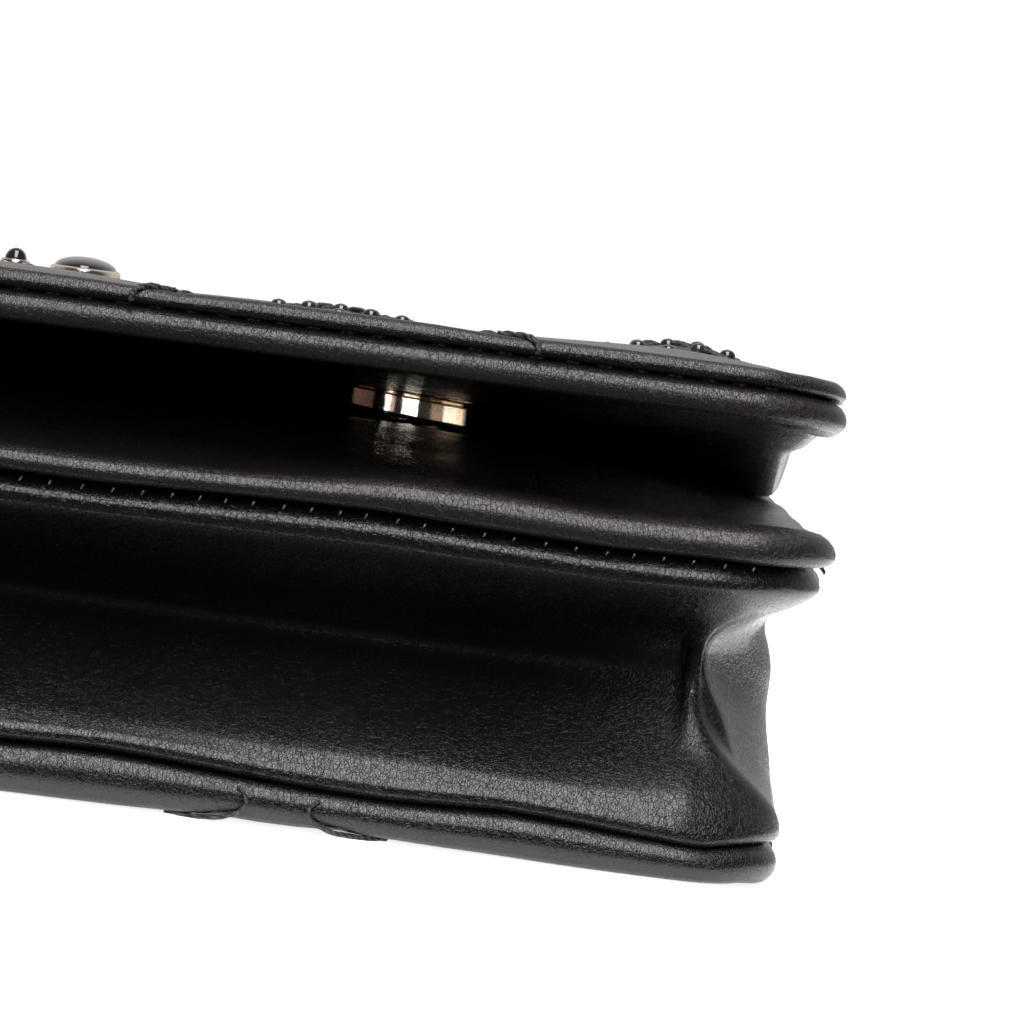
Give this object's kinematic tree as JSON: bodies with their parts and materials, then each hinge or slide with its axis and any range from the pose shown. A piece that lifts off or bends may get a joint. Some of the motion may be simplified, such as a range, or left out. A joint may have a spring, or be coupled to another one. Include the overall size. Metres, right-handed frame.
{
  "type": "chain wallet",
  "caption": "Black leather flap wallet with a quilted flap and back, folded gusset, snap, zip pocket, card pockets, studs and a metal chain strap.",
  "frame": {"origin": "centre of the underside of the wallet as it lies on its back, without the chain", "axes": "+X along the wallet's width, +Y from the flap's free edge to the spine, +Z out of the flap"},
  "size_m": [0.2108, 0.235, 0.0374],
  "materials": {
    "plain_leather": "smooth fine-grained calf, semi-gloss",
    "quilted_leather": "quilted soft leather, semi-gloss",
    "lining_leather": "thin satin lining leather",
    "zip_tape": "woven zip tape",
    "zip_metal": "polished pale gold",
    "snap_metal": "polished pale gold",
    "plaque_metal": "polished pale metal",
    "black_enamel": "glossy black",
    "chain_metal": "polished pale gold"
  },
  "bodies": {
    "case": {"back_panel": "quilted_leather", "back_lining": "lining_leather", "gusset": "plain_leather", "spine": "quilted_leather", "strap_tab_left": "plain_leather", "strap_tab_right": "plain_leather", "card_pocket_left_1": "plain_leather", "card_pocket_left_2": "plain_leather", "card_pocket_left_3": "plain_leather", "card_pocket_right_1": "plain_leather", "card_pocket_right_2": "plain_leather", "card_pocket_right_3": "plain_leather", "strap_ring_left": "chain_metal", "strap_ring_right": "chain_metal", "chain_lead_left": "chain_metal", "chain_lead_right": "chain_metal", "chain_coil": "chain_metal"},
    "front": {"front_panel": "plain_leather", "front_lining": "lining_leather", "snap_stud": "snap_metal"},
    "pocket": {"pocket_leaf_back": "plain_leather", "pocket_leaf_front": "plain_leather", "pocket_side_strip": "lining_leather", "zip_tape_back": "zip_tape", "zip_tape_front": "zip_tape", "zip_teeth_back": "zip_metal", "zip_teeth_front": "zip_metal", "zip_stop_left": "zip_metal", "zip_stop_right": "zip_metal"},
    "slider": {"zip_slider": "zip_metal"},
    "pull": {"zip_pull": "zip_metal"},
    "flap": {"flap_outer": "quilted_leather", "flap_lining": "plain_leather", "snap_socket": "snap_metal", "plaque": "plaque_metal", "plaque_stone_lower": "black_enamel", "plaque_stone_upper": "black_enamel", "plaque_bead": "black_enamel"}
  },
  "joints": [
    {"name": "flap_hinge", "type": "hinge", "parent": "case", "child": "flap", "pos_m": [0, 0.0575, 0.0358], "axis": [-1, 0, 0], "range_deg": [0, 170]},
    {"name": "front_opening", "type": "hinge", "parent": "case", "child": "front", "pos_m": [0, -0.0615, 0.0225], "axis": [1, 0, 0], "range_deg": [0, 10]},
    {"name": "pocket_opening", "type": "hinge", "parent": "case", "child": "pocket", "pos_m": [0, -0.054, 0.0154], "axis": [1, 0, 0], "range_deg": [0, 5]},
    {"name": "zip_slide", "type": "slide", "parent": "pocket", "child": "slider", "axis": [1, 0, 0], "range_m": [0, 0.116]},
    {"name": "pull_swing", "type": "hinge", "parent": "slider", "child": "pull", "pos_m": [-0.058, 0.0378, 0.0154], "axis": [0, 0, 1], "range_deg": [0, 170]}
  ],
  "couplings": [
    {"joint": "front_opening", "follows": "flap_hinge", "ratio": 0.0588},
    {"joint": "pocket_opening", "follows": "flap_hinge", "ratio": 0.0294}
  ]
}
